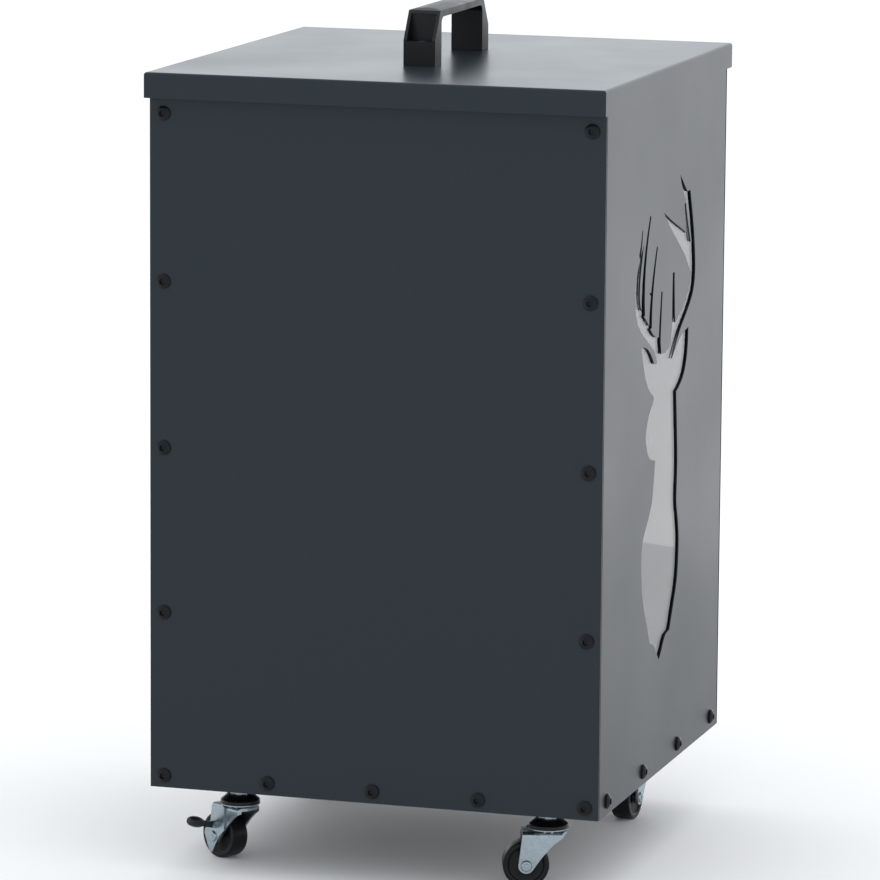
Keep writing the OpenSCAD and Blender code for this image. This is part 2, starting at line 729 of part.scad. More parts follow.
module castor_fork() {
  reach = trail + leg_end_r + past;
  color(zinc) difference() {
    intersection() {
      translate([-race_r, 0, 0]) rotate([90, 0, 90]) linear_extrude(race_r + reach) fork_section();
      translate([0, leg_out, 0]) rotate([90, 0, 0]) linear_extrude(2 * leg_out) leg_side();
      union() {
        cylinder(r = race_r, h = fork_top + past);
        translate([0, -race_r, 0]) cube([reach, 2 * race_r, fork_top + past]);
      }
    }
    ball_groove();
    translate([0, 0, fork_under - past]) cylinder(d = pin_d + 2 * run_gap, h = 2 * past + fork_t);
    translate([trail, leg_out + past, wheel_r]) rotate([90, 0, 0])
      cylinder(d = axle_d, h = 2 * (leg_out + past));
  }
}

// Riveted axle: one turned pin, its heads against the outsides of the legs
module axle(left, right) {
  color(zinc) translate([trail, 0, wheel_r]) rotate([90, 0, 0]) rotate_extrude() polygon([
    [0, -left - rivet_h - 0.4], [1.6, -left - rivet_h - 0.4], [1.6, -left - rivet_h],
    [rivet_d / 2 - 0.8, -left - rivet_h], [rivet_d / 2, -left], [axle_d / 2, -left],
    [axle_d / 2, right], [rivet_d / 2, right], [rivet_d / 2 - 0.8, right + rivet_h],
    [1.6, right + rivet_h], [1.6, right + rivet_h + 0.4], [0, right + rivet_h + 0.4]]);
}

// Wheel: flat tread with rounded shoulders, a raised ring and a hollow face
module castor_wheel() {
  half = wheel_w / 2;
  hub = leg_in - hub_gap;
  bore = axle_d / 2 + run_gap;
  color(black) translate([trail, 0, wheel_r]) rotate([90, 0, 0]) rotate_extrude() polygon(concat(
    [[bore, hub], [4, hub], [4.3, half - 1.4], [wheel_r - 3.6, half - 1.4], [wheel_r - 3.2, half]],
    [for (a = [90 : -15 : 0]) [wheel_r - 1.2 + 1.2 * cos(a), half - 1.2 + 1.2 * sin(a)]],
    [for (a = [0 : -15 : -90]) [wheel_r - 1.2 + 1.2 * cos(a), -half + 1.2 + 1.2 * sin(a)]],
    [[wheel_r - 3.2, -half], [wheel_r - 3.6, -half + 1.4], [4.3, -half + 1.4], [4, -hub], [bore, -hub]]));
}

// A brake is drawn on the -Y side of its castor
module brake_side(side) {
  mirror([0, side > 0 ? 1 : 0, 0]) children();
}

// Brake plate: stands outside one leg, held by the axle, and tapers to a
// rounded tip below. Two ears hold the pedal's hinge pin.
module plate_side() {
  tip = [trail + 2, wheel_r - 10];
  difference() {
    polygon(concat(
      [[plate_front, plate_top - 1.5], [plate_front + 1.5, plate_top],
       [plate_rear - 1.5, plate_top], [plate_rear, plate_top - 1.5], [plate_rear, hinge_z + 3.5],
       [trail + 8.5, wheel_r + 4], [trail + 9, wheel_r + 1]],
      [for (a = [-20 : -20 : -160]) tip + 2 * [cos(a), sin(a)]],
      [[trail - 4.5, wheel_r - 2.5], [trail - 7.5, wheel_r + 2], [plate_front, wheel_r + 6]]));
    translate([trail, wheel_r]) circle(d = axle_d);
  }
}

module brake_plate() {
  ear_x = pad_d / 2 - ear_w / 2;
  color(zinc) {
    translate([0, -plate_in, 0]) rotate([90, 0, 0]) linear_extrude(brake_t) plate_side();
    for (s = [-1, 1]) translate([pedal_x + s * ear_x - ear_w / 2, 0, 0])
      rotate([90, 0, 90]) linear_extrude(ear_w) {
        translate([-hinge_y, hinge_z]) circle(r = knuckle_r);
        translate([-hinge_y, hinge_z - knuckle_r])
          square([hinge_y - plate_out + eps, 2 * knuckle_r]);
      }
    translate([pedal_x - pad_d / 2 - pin_past, -hinge_y, hinge_z]) rotate([0, 90, 0])
      cylinder(d = hinge_d, h = pad_d + 2 * pin_past);
  }
}

// Brake pedal: an arm on the hinge pin that widens into a rounded pad
module brake_pedal(tilt) {
  arm_w = pad_d - 2 * ear_w - 0.6;
  pad_start = pedal_reach - pad_len;
  color(black) translate([0, -hinge_y, hinge_z]) rotate([-tilt, 0, 0]) difference() {
    union() {
      translate([pedal_x - arm_w / 2, 0, 0]) rotate([90, 0, 90]) linear_extrude(arm_w) {
        circle(r = knuckle_r);
        polygon([[0, -knuckle_r], [0, knuckle_r], [hinge_y - pad_start - 3, 2.4],
                 [hinge_y - pad_start - 3, -2.4]]);
      }
      translate([pedal_x, hinge_y - pad_start, 0]) rotate([90, 0, 0]) pad();
    }
    translate([pedal_x - pad_d, 0, 0]) rotate([0, 90, 0])
      cylinder(d = hinge_d + 2 * run_gap, h = 2 * pad_d);
  }
}

// Pad of the pedal: an oval block, from z = 0 outwards
module pad() {
  hull() {
    for (t = [0 : 15 : 180]) let (s = sin(t), z = pad_len * (1 - cos(t)) / 2)
      translate([0, 0, max(0, z - 0.1)]) linear_extrude(0.1)
        scale([pad_d / 2 * (0.45 + 0.55 * s), pad_h / 2 * (0.45 + 0.55 * s)]) circle(r = 1, $fn = 24);
  }
}

module plain_axle() {
  axle(leg_out, leg_out);
}
module brake_axle() {
  axle(leg_out, plate_out);
}

front_panel();
rear_panel();
left_side_panel();
right_side_panel();
floor_tray();
window_pane();
window_seal();
window_clips();
window_clip_nuts();
left_side_screws();
left_side_nuts();
right_side_screws();
right_side_nuts();
front_screws();
front_nuts();
rear_screws();
rear_nuts();
lid();
handle();
handle_screws();
handle_washers();
handle_nuts();
at_castor(-1, -1, 0) castor_stem();  // fl_castor_stem
at_castor(-1, -1, 0) castor_nuts();  // fl_castor_nuts
at_castor(-1, -1, 0) castor_balls();  // fl_castor_balls
at_castor(-1, -1, 0) castor_cap();  // fl_castor_cap
at_castor(-1, -1, turn_fl) castor_fork();  // fl_castor_fork
at_castor(-1, -1, turn_fl)  // fl_castor_axle
  brake_side(brake_side_fl) brake_axle();
at_castor(-1, -1, turn_fl) castor_wheel();  // fl_castor_wheel
at_castor(-1, -1, turn_fl)  // fl_brake_plate
  brake_side(brake_side_fl) brake_plate();
at_castor(-1, -1, turn_fl)  // fl_brake_pedal
  brake_side(brake_side_fl) brake_pedal(tilt_fl);
at_castor(-1, 1, 0) castor_stem();  // rl_castor_stem
at_castor(-1, 1, 0) castor_nuts();  // rl_castor_nuts
at_castor(-1, 1, 0) castor_balls();  // rl_castor_balls
at_castor(-1, 1, 0) castor_cap();  // rl_castor_cap
at_castor(-1, 1, turn_rl) castor_fork();  // rl_castor_fork
at_castor(-1, 1, turn_rl)  // rl_castor_axle
  brake_side(brake_side_rl) brake_axle();
at_castor(-1, 1, turn_rl) castor_wheel();  // rl_castor_wheel
at_castor(-1, 1, turn_rl)  // rl_brake_plate
  brake_side(brake_side_rl) brake_plate();
at_castor(-1, 1, turn_rl)  // rl_brake_pedal
  brake_side(brake_side_rl) brake_pedal(tilt_rl);
at_castor(1, -1, 0) castor_stem();  // fr_castor_stem
at_castor(1, -1, 0) castor_nuts();  // fr_castor_nuts
at_castor(1, -1, 0) castor_balls();  // fr_castor_balls
at_castor(1, -1, 0) castor_cap();  // fr_castor_cap
at_castor(1, -1, turn_fr) castor_fork();  // fr_castor_fork
at_castor(1, -1, turn_fr) plain_axle();  // fr_castor_axle
at_castor(1, -1, turn_fr) castor_wheel();  // fr_castor_wheel
at_castor(1, 1, 0) castor_stem();  // rr_castor_stem
at_castor(1, 1, 0) castor_nuts();  // rr_castor_nuts
at_castor(1, 1, 0) castor_balls();  // rr_castor_balls
at_castor(1, 1, 0) castor_cap();  // rr_castor_cap
at_castor(1, 1, turn_rr) castor_fork();  // rr_castor_fork
at_castor(1, 1, turn_rr) plain_axle();  // rr_castor_axle
at_castor(1, 1, turn_rr) castor_wheel();  // rr_castor_wheel
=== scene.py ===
import json
import math

import bmesh
import bpy
from bpy.props import FloatProperty, FloatVectorProperty, IntProperty, PointerProperty
from bpy.types import Operator, Panel, PropertyGroup
from mathutils import Matrix, Vector


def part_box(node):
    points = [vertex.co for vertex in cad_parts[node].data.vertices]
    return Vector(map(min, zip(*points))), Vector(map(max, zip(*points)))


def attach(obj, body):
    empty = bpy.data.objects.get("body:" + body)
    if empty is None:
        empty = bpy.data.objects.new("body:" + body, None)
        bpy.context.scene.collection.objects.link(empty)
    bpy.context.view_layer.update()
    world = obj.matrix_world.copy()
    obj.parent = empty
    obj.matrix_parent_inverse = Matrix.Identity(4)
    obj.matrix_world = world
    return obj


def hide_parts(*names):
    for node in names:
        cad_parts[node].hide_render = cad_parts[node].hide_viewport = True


bl_info = {
    "name": "Pellet Bin",
    "version": (1, 0, 0),
    "blender": (4, 5, 0),
    "location": "3D View > Sidebar > Pellet Bin",
    "description": "Finishes a sheet steel bin for wood pellets and sets it on a pale floor",
    "category": "Object",
}

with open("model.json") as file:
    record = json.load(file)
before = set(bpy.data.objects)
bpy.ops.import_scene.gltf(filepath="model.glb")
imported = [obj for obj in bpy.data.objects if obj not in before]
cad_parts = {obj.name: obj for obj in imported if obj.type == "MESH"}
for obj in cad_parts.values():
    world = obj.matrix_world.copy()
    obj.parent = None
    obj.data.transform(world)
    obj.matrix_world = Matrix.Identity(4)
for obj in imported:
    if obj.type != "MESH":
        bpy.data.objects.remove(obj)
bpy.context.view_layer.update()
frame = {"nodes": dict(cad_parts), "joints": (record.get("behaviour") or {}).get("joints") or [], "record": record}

CASTORS = ("fl", "rl", "fr", "rr")
BRAKED_CASTORS = ("fl", "rl")
SHEETS = ("front_panel", "rear_panel", "left_side_panel", "right_side_panel", "floor_tray", "lid")
BLACK_SCREWS = ("left_side_screws", "right_side_screws", "front_screws", "rear_screws")
ZINC_FASTENERS = (
    "left_side_nuts", "right_side_nuts", "front_nuts", "rear_nuts", "window_clip_nuts",
    "handle_screws", "handle_washers", "handle_nuts",
)

# Joining and smoothing the CAD meshes, lengths in metres and angles in degrees
MERGE_DISTANCE = 0.000002
SEAM_DISTANCE = 0.000001
FLAT_ANGLE = 0.6
SHARP_ANGLE = 28
PEDAL_SHARP_ANGLE = 40
NORMAL_WEIGHT = 50

# Small shapes of the castor wheel, in metres
WHEEL_BORE = 0.00205
HUB_STEP = 0.0011
CHAMFER = 0.0003
HUB_DRAFT = 0.0002
HUB_FILLET = 0.0006
RIM_FILLET = 0.0008
RIM_RISE = 0.0002
SHOULDER_STEPS = 6

# Stage, lengths in metres
FLOOR_SIZE = 40.0
AWAY = (0.956, 0.294, 0.0)  # level direction in which the camera looks
SKY_NARROW = 0.96  # cosine of the angle from there inside which the sky is at its far strength
SKY_WIDE = 0.75  # cosine of the angle beyond which it is at its near strength
TINT_HEIGHT = 0.12  # sine of the height above the horizon at which the tint is full
SIDE_LIGHT_SIZE = (2.7, 1.3)
SIDE_LIGHT_FOOT = (1.181, -0.548, 0.0)  # where its lower edge shows in the pane
SIDE_LIGHT_WAY = (-0.381, 0.925, 0.0)  # direction of its lower edge
SIDE_LIGHT_SHIFT = 0.90  # its middle lies this far back from its foot
OVERHEAD_SIZE = (4.0, 4.0)
OVERHEAD_PLACE = (0.3, 0.5, 3.0)
FULL_SPREAD = math.pi
SENSOR_WIDTH = 36  # in millimetres
NEAREST = 0.1
FARTHEST = 100


# Sizes and colours that a user would change


class CoatSettings(PropertyGroup):
    """Powder coat on the folded sheets."""

    dark: FloatVectorProperty(
        name="Coat, dark", description="Deepest tone of the powder coat",
        subtype="COLOR", size=3, min=0, max=1, default=(0.0115, 0.0180, 0.0245))
    light: FloatVectorProperty(
        name="Coat, light", description="Palest tone of the powder coat",
        subtype="COLOR", size=3, min=0, max=1, default=(0.0140, 0.0210, 0.0280))
    roughness: FloatProperty(
        name="Coat roughness", description="Middle roughness of the satin coat",
        subtype="FACTOR", min=0.05, max=1, default=0.30)
    edge: FloatProperty(
        name="Sheet edge radius", description="Radius that the coat gives to a cut edge",
        unit="LENGTH", min=0, default=0.00022)


class PlasticSettings(PropertyGroup):
    """Handle, caps, pedals and wheels."""

    handle: FloatVectorProperty(
        name="Handle", description="Colour of the handle",
        subtype="COLOR", size=3, min=0, max=1, default=(0.0030, 0.0035, 0.0046))
    wheel: FloatVectorProperty(
        name="Wheel", description="Colour of the castor wheels",
        subtype="COLOR", size=3, min=0, max=1, default=(0.0030, 0.0030, 0.0033))
    pedal: FloatVectorProperty(
        name="Pedal", description="Colour of the brake pedals",
        subtype="COLOR", size=3, min=0, max=1, default=(0.0110, 0.0130, 0.0165))
    handle_edge: FloatProperty(
        name="Handle edge radius", description="Radius of the handle's moulded edges",
        unit="LENGTH", min=0, default=0.0011)


class MetalSettings(PropertyGroup):
    """Zinc plate and black screws."""

    zinc: FloatVectorProperty(
        name="Zinc", description="Colour of the zinc plate",
        subtype="COLOR", size=3, min=0, max=1, default=(0.315, 0.375, 0.415))
    zinc_pale: FloatVectorProperty(
        name="Zinc, pale", description="Colour of the zinc plate's brighter clouds",
        subtype="COLOR", size=3, min=0, max=1, default=(0.375, 0.435, 0.475))
    oxide: FloatVectorProperty(
        name="Black screws", description="Colour of the black screws",
        subtype="COLOR", size=3, min=0, max=1, default=(0.0036, 0.0044, 0.0056))
    edge: FloatProperty(
        name="Plate edge radius", description="Radius of a stamped edge",
        unit="LENGTH", min=0, default=0.00025)


class WheelSettings(PropertyGroup):
    """Castor wheel and the edge of its riveted axle."""

    shoulder: FloatProperty(
        name="Shoulder radius", description="Radius between the tread and the wheel's face",
        unit="LENGTH", min=0, default=0.0013)
    rim: FloatProperty(
        name="Rim width", description="Width of the raised ring round the wheel's face",
        unit="LENGTH", min=0, default=0.0024)
    dish: FloatProperty(
        name="Dish depth", description="Depth of the wheel's hollow face",
        unit="LENGTH", min=0, default=0.0016)
    hub: FloatProperty(
        name="Hub radius", description="Radius of the hub beside the fork",
        unit="LENGTH", min=0, default=0.0040)
    steps: IntProperty(
        name="Steps", description="Steps round a wheel", min=12, default=72)
    axle_edge: FloatProperty(
        name="Axle edge radius", description="Radius of the axle's riveted edges",
        unit="LENGTH", min=0, default=0.0003)


class StageSettings(PropertyGroup):
    """Floor, light and camera."""

    camera_place: FloatVectorProperty(
        name="Camera place", description="Where the camera stands",
        subtype="TRANSLATION", size=3, default=(-3.8752, -1.1884, 0.9922))
    camera_turn: FloatVectorProperty(
        name="Camera turn", description="Turn of the camera about X, Y and Z",
        subtype="EULER", size=3,
        default=(math.radians(80.222), math.radians(-0.421), math.radians(-72.843)))
    lens: FloatProperty(
        name="Lens", description="Focal length on a 36 mm sensor, in millimetres",
        min=1, default=232.93)
    floor: FloatVectorProperty(
        name="Floor", description="Colour of the floor",
        subtype="COLOR", size=3, min=0, max=1, default=(0.98, 0.955, 0.93))
    sky_near: FloatProperty(
        name="Light from the left", description="Strength of the surroundings on the left",
        min=0, default=1.12)
    sky_far: FloatProperty(
        name="Light from behind", description="Strength of the surroundings behind the bin",
        min=0, default=1.72)
    sky_tint: FloatVectorProperty(
        name="Light from above, colour", description="Tint of the surroundings above the horizon",
        subtype="COLOR", size=3, min=0, max=1, default=(0.90, 0.95, 1.0))
    card: FloatProperty(
        name="Side light", description="Power of the long soft light on the right, in watts",
        min=0, default=3.35)
    card_spread: FloatProperty(
        name="Side light spread", description="Angle over which the side light fans out",
        subtype="ANGLE", unit="ROTATION", min=0, max=math.pi, default=math.radians(110))
    overhead: FloatProperty(
        name="Overhead light", description="Power of the soft light above, in watts",
        min=0, default=14)


# Shader building


class Finish:
    """A material whose nodes are added one after the other."""

    def __init__(self, name):
        self.material = bpy.data.materials.new(name)
        self.material.use_nodes = True
        self.tree = self.material.node_tree
        self.shader = self.tree.nodes["Principled BSDF"]
        self.place = self.node("ShaderNodeTexCoord").outputs["Object"]

    def node(self, kind, **values):
        """A new node with its own settings."""
        made = self.tree.nodes.new(kind)
        for name, value in values.items():
            setattr(made, name, value)
        return made

    def link(self, source, target):
        self.tree.links.new(source, target)

    def stretched(self, scale):
        """Object coordinates stretched by a scale along each axis."""
        mapping = self.node("ShaderNodeMapping")
        mapping.inputs["Scale"].default_value = scale
        self.link(self.place, mapping.inputs["Vector"])
        return mapping.outputs["Vector"]

    def noise(self, scale, detail=2.0, rough=0.5, place=None):
        """Cloudy pattern, scale in repeats a metre."""
        made = self.node("ShaderNodeTexNoise")
        made.inputs["Scale"].default_value = scale
        made.inputs["Detail"].default_value = detail
        made.inputs["Roughness"].default_value = rough
        self.link(place or self.place, made.inputs["Vector"])
        return made.outputs["Fac"]

    def cells(self, scale):
        """Rounded cells, scale in cells a metre."""
        made = self.node("ShaderNodeTexVoronoi")
        made.inputs["Scale"].default_value = scale
        self.link(self.place, made.inputs["Vector"])
        return made.outputs["Distance"]

    def spread(self, source, low, high, start=0.3, end=0.7):
        """A number from low to high as the source goes from start to end."""
        made = self.node("ShaderNodeMapRange")
        made.inputs["From Min"].default_value = start
        made.inputs["From Max"].default_value = end
        made.inputs["To Min"].default_value = low
        made.inputs["To Max"].default_value = high
        self.link(source, made.inputs["Value"])
        return made.outputs["Result"]

    def blend(self, source, dark, light):
        """A colour from dark to light."""
        made = self.node("ShaderNodeMix", data_type="RGBA")
        made.inputs["A"].default_value = (*dark, 1)
        made.inputs["B"].default_value = (*light, 1)
        self.link(source, made.inputs["Factor"])
        return made.outputs["Result"]

    def bump(self, source, strength, depth):
        """Surface relief from a pattern, depth in metres."""
        made = self.node("ShaderNodeBump")
        made.inputs["Strength"].default_value = strength
        made.inputs["Distance"].default_value = depth
        self.link(source, made.inputs["Height"])
        self.link(made.outputs["Normal"], self.shader.inputs["Normal"])

    def colour(self, source, dark, light):
        """Base colour from dark to light as the source goes from 0 to 1."""
        self.link(self.blend(source, dark, light), self.shader.inputs["Base Color"])

    def roughness(self, source, low, high):
        """Roughness from low to high as the source goes over its usual range."""
        self.link(self.spread(source, low, high), self.shader.inputs["Roughness"])

    def set(self, **values):
        """Fixed values on the shader's own sockets."""
        for name, value in values.items():
            self.shader.inputs[name.replace("_", " ")].default_value = value


def brighter(colour, times):
    """The colour, this many times as bright."""
    return [c * times for c in colour]


def powder_coat(coat):
    """Satin coat: fine orange peel, faint clouds and tiny specks."""
    finish = Finish("powder_coat")
    clouds = finish.noise(scale=7.0, detail=3)
    specks = finish.noise(scale=1500.0, detail=1)
    peel = finish.noise(scale=520.0, detail=2)
    change = 0.03
    finish.colour(finish.spread(specks, 0, 1, start=0.35, end=0.65), coat.dark, coat.light)
    finish.roughness(clouds, low=coat.roughness - change, high=coat.roughness + change)
    finish.bump(peel, strength=0.10, depth=0.00008)
    finish.set(IOR=1.32)
    return finish.material


def zinc_plate(metal):
    """Rolled steel with a bright, slightly blue zinc plate."""
    finish = Finish("zinc_plate")
    clouds = finish.noise(scale=240.0, detail=4, rough=0.6)
    streaks = finish.noise(scale=300.0, detail=2, place=finish.stretched((1, 1, 9)))
    finish.colour(finish.spread(clouds, 0, 1), metal.zinc, metal.zinc_pale)
    finish.roughness(streaks, low=0.24, high=0.38)
    finish.bump(streaks, strength=0.08, depth=0.00004)
    finish.set(Metallic=1.0)
    return finish.material


def black_oxide(metal):
    """Blackened steel screws with a light oily sheen."""
    finish = Finish("black_oxide")
    clouds = finish.noise(scale=900.0, detail=2)
    finish.colour(clouds, metal.oxide, brighter(metal.oxide, 1.8))
    finish.roughness(clouds, low=0.20, high=0.30)
    finish.set(IOR=1.26)
    return finish.material


def ball_steel():
    """Polished bearing balls under a film of grease."""
    finish = Finish("ball_steel")
    film = finish.noise(scale=700.0)
    finish.colour(film, dark=(0.55, 0.55, 0.54), light=(0.80, 0.80, 0.80))
    finish.roughness(film, low=0.08, high=0.2)
    finish.set(Metallic=1.0)
    return finish.material


def moulded_plastic(name, colour, low, high, grain, ior=1.35):
    """Black plastic, its roughness from low to high, with a moulded grain in cells a metre."""
    finish = Finish(name)
    clouds = finish.noise(scale=60.0, detail=3)
    finish.colour(clouds, colour, brighter(colour, 1.5))
    finish.roughness(clouds, low, high)
    finish.bump(finish.cells(grain), strength=0.12, depth=0.00005)
    finish.set(IOR=ior)
    return finish.material


def clear_acrylic():
    """Clear pane with the faintest wiping haze."""
    finish = Finish("clear_acrylic")
    haze = finish.noise(scale=18.0, detail=4, place=finish.stretched((1, 1, 0.4)))
    finish.roughness(haze, low=0.0, high=0.03)
    finish.set(Base_Color=(0.60, 0.615, 0.63, 1), Transmission_Weight=1.0, IOR=1.34)
    return finish.material


def foam():
    """Closed-cell foam, matt and pitted, with painted shade darkening its pits."""
    finish = Finish("seal_foam")
    pits_and_painted_pit_shade = finish.cells(scale=1600.0)
    # colour follows the pit pattern, darker where the cells sink: painted shade in the pores
    finish.colour(pits_and_painted_pit_shade, dark=(0.010, 0.010, 0.010), light=(0.022, 0.022, 0.022))
    finish.bump(pits_and_painted_pit_shade, strength=0.4, depth=0.0001)
    finish.set(Roughness=0.85)
    return finish.material


def paint_node(node, material):
    """Gives a CAD node that stays its finish."""
    slots = frame["nodes"][node].data.materials
    if not slots:
        slots.append(material)
    for i in range(len(slots)):
        slots[i] = material


# Making pieces


def body_of_node(node):
    """Name of the body that a CAD node moves with."""
    for body, nodes in frame["record"]["behaviour"]["bodies"].items():
        if node in nodes:
            return body
    raise ValueError(f"{node} is on no body")


def joint(name):
    """A joint of the frame, by its name."""
    for found in frame["joints"]:
        if found["name"] == name:
            return found
    raise ValueError(f"no joint {name}")


def add_piece(name, shape, material, node):
    """Makes a piece from a bmesh, which rides with a CAD node's body and stands for that node."""
    mesh = bpy.data.meshes.new(name)
    shape.to_mesh(mesh)
    shape.free()
    mesh.shade_smooth()
    piece = bpy.data.objects.new(name, mesh)
    bpy.context.scene.collection.objects.link(piece)
    mesh.materials.append(material)
    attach(piece, body_of_node(node))
    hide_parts(node)
    return piece


def ease_edges(piece, width, segments=2, angle=SHARP_ANGLE):
    """Rounds a piece's sharp edges."""
    bevel = piece.modifiers.new("eased_edges", "BEVEL")
    bevel.width = width
    bevel.segments = segments
    bevel.limit_method = "ANGLE"
    bevel.angle_limit = math.radians(angle)
    bevel.use_clamp_overlap = True
    flat = piece.modifiers.new("flat_faces", "WEIGHTED_NORMAL")
    flat.mode = "FACE_AREA"
    flat.weight = NORMAL_WEIGHT
    return piece


def merged_copy(node):
    """A CAD node's shape with its triangles joined and its flat faces whole."""
    shape = bmesh.new()
    shape.from_mesh(frame["nodes"][node].data)
    bmesh.ops.remove_doubles(shape, verts=shape.verts, dist=MERGE_DISTANCE)
    bmesh.ops.dissolve_limit(
        shape, angle_limit=math.radians(FLAT_ANGLE), verts=shape.verts, edges=shape.edges,
        use_dissolve_boundaries=False)
    return shape


def eased_copy(node, material, width, segments=2, angle=SHARP_ANGLE):
    """A CAD node with softened edges."""
    piece = add_piece("soft_" + node, merged_copy(node), material, node)
    return ease_edges(piece, width, segments, angle)


def turned_shape(outline, steps):
    """Spins a closed outline of (radius, height) points about Z."""
    shape = bmesh.new()
    points = [shape.verts.new((r, 0, h)) for r, h in outline]
    edges = [shape.edges.new(pair) for pair in zip(points, points[1:])]
    edges.append(shape.edges.new((points[-1], points[0])))
    bmesh.ops.spin(
        shape, geom=points + edges, cent=(0, 0, 0), axis=(0, 0, 1), angle=2 * math.pi,
        steps=steps, use_merge=True, use_duplicate=False)
    bmesh.ops.remove_doubles(shape, verts=shape.verts, dist=SEAM_DISTANCE)
    bmesh.ops.recalc_face_normals(shape, faces=shape.faces)
    return shape


def set_on_axis(shape, place, axis):
    """Moves a shape turned about Z to its place and axis."""
    turn = Vector((0, 0, 1)).rotation_difference(Vector(axis)).to_matrix().to_4x4()
    bmesh.ops.transform(shape, matrix=Matrix.Translation(place) @ turn, verts=shape.verts)


def arc(centre, radius, start, end, steps):
    """Points of an arc in an outline, angles in degrees from the radius axis."""
    step = (end - start) / steps
    angles = [math.radians(start + step * k) for k in range(steps + 1)]
    return [(centre[0] + radius * math.cos(a), centre[1] + radius * math.sin(a)) for a in angles]


# Operators, one for each piece or group of pieces


class BIN_OT_sheets(Operator):
    """Coats the folded sheets and rounds their cut edges"""

    bl_idname = "pellet_bin.sheets"
    bl_label = "Folded Sheets"

    def execute(self, context):
        coat = context.scene.bin_coat
        material = powder_coat(coat)
        for node in SHEETS:
            eased_copy(node, material, coat.edge)
        return {"FINISHED"}


class BIN_OT_window(Operator):
    """Finishes the pane, its seal and its clips"""

    bl_idname = "pellet_bin.window"
    bl_label = "Window"

    def execute(self, context):
        metal = context.scene.bin_metal
        eased_copy("window_pane", clear_acrylic(), metal.edge)
        paint_node("window_seal", foam())
        eased_copy("window_clips", zinc_plate(metal), metal.edge)
        return {"FINISHED"}


class BIN_OT_fasteners(Operator):
    """Finishes the screws, nuts and washers"""

    bl_idname = "pellet_bin.fasteners"
    bl_label = "Fasteners"

    def execute(self, context):
        metal = context.scene.bin_metal
        black = black_oxide(metal)
        zinc = zinc_plate(metal)
        for node in BLACK_SCREWS:
            paint_node(node, black)
        for node in ZINC_FASTENERS:
            paint_node(node, zinc)
        for castor in CASTORS:
            paint_node(castor + "_castor_nuts", zinc)
        return {"FINISHED"}


class BIN_OT_handle(Operator):
    """Moulds the lid's handle"""

    bl_idname = "pellet_bin.handle"
    bl_label = "Handle"

    def execute(self, context):
        plastic = context.scene.bin_plastic
        material = moulded_plastic(
            "handle_plastic", plastic.handle, low=0.34, high=0.44, grain=2400.0)
        eased_copy("handle", material, plastic.handle_edge, segments=3)
        return {"FINISHED"}


class BIN_OT_castor_heads(Operator):
    """Finishes the castors' stems, balls, caps and forks"""

    bl_idname = "pellet_bin.castor_heads"
    bl_label = "Castor Heads"

    def execute(self, context):
        metal = context.scene.bin_metal
        plastic = context.scene.bin_plastic
        zinc = zinc_plate(metal)
        balls = ball_steel()
        cap = moulded_plastic("cap_plastic", plastic.wheel, low=0.22, high=0.32, grain=3000.0)
        for castor in CASTORS:
            eased_copy(castor + "_castor_stem", zinc, metal.edge)
            eased_copy(castor + "_castor_cap", cap, metal.edge)
            eased_copy(castor + "_castor_fork", zinc, metal.edge)
            paint_node(castor + "_castor_balls", balls)
        return {"FINISHED"}


class BIN_OT_wheels(Operator):
    """Turns the castor wheels"""

    bl_idname = "pellet_bin.wheels"
    bl_label = "Wheels"

    def execute(self, context):
        sizes = context.scene.bin_wheel
        plastic = context.scene.bin_plastic
        material = moulded_plastic(
            "wheel_plastic", plastic.wheel, low=0.30, high=0.42, grain=2600.0, ior=1.32)
        for castor in CASTORS:
            self.turn_wheel(castor, sizes, material)
        return {"FINISHED"}

    def turn_wheel(self, castor, sizes, material):
        """A wheel as wide and as high as its CAD node, about its roll joint."""
        node = castor + "_castor_wheel"
        roll = joint(castor + "_roll")
        axis = Vector(roll["axis"])
        along = [axis.dot(v.co) for v in frame["nodes"][node].data.vertices]
        hub_half = (max(along) - min(along)) / 2
        low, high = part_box(node)
        radius = (high.z - low.z) / 2
        half = hub_half - HUB_STEP
        soft = sizes.shoulder
        face = self.face_outline(radius, half, hub_half, sizes)
        tread = arc((radius - soft, half - soft), soft, 90, 0, SHOULDER_STEPS)
        upper = face + tread
        lower = [(r, -h) for r, h in reversed(upper)]
        shape = turned_shape(upper + lower, sizes.steps)
        set_on_axis(shape, roll["pos_m"], axis)
        add_piece(castor + "_turned_wheel", shape, material, node)

    def face_outline(self, radius, half, hub_half, sizes):
        """From the bore out to the raised ring, on one side."""
        floor = half - sizes.dish
        ring = radius - sizes.shoulder - sizes.rim
        return [
            (WHEEL_BORE, hub_half), (sizes.hub - CHAMFER, hub_half),
            (sizes.hub, hub_half - CHAMFER), (sizes.hub + HUB_DRAFT, floor + CHAMFER),
            (sizes.hub + HUB_FILLET, floor), (ring - RIM_FILLET, floor),
            (ring - CHAMFER, floor + RIM_RISE), (ring, half - CHAMFER), (ring + CHAMFER, half)]


class BIN_OT_axles(Operator):
    """Finishes the riveted axles"""

    bl_idname = "pellet_bin.axles"
    bl_label = "Axles"

    def execute(self, context):
        zinc = zinc_plate(context.scene.bin_metal)
        edge = context.scene.bin_wheel.axle_edge
        for castor in CASTORS:
            eased_copy(castor + "_castor_axle", zinc, edge, segments=3)
        return {"FINISHED"}


class BIN_OT_brakes(Operator):
    """Finishes the brake plates and pedals"""

    bl_idname = "pellet_bin.brakes"
    bl_label = "Brakes"

    def execute(self, context):
        metal = context.scene.bin_metal
        plastic = context.scene.bin_plastic
        zinc = zinc_plate(metal)
        black = moulded_plastic(
            "pedal_plastic", plastic.pedal, low=0.25, high=0.35, grain=2600.0, ior=1.4)
        for castor in BRAKED_CASTORS:
            eased_copy(castor + "_brake_plate", zinc, metal.edge)
            eased_copy(castor + "_brake_pedal", black, metal.edge, angle=PEDAL_SHARP_ANGLE)
        return {"FINISHED"}


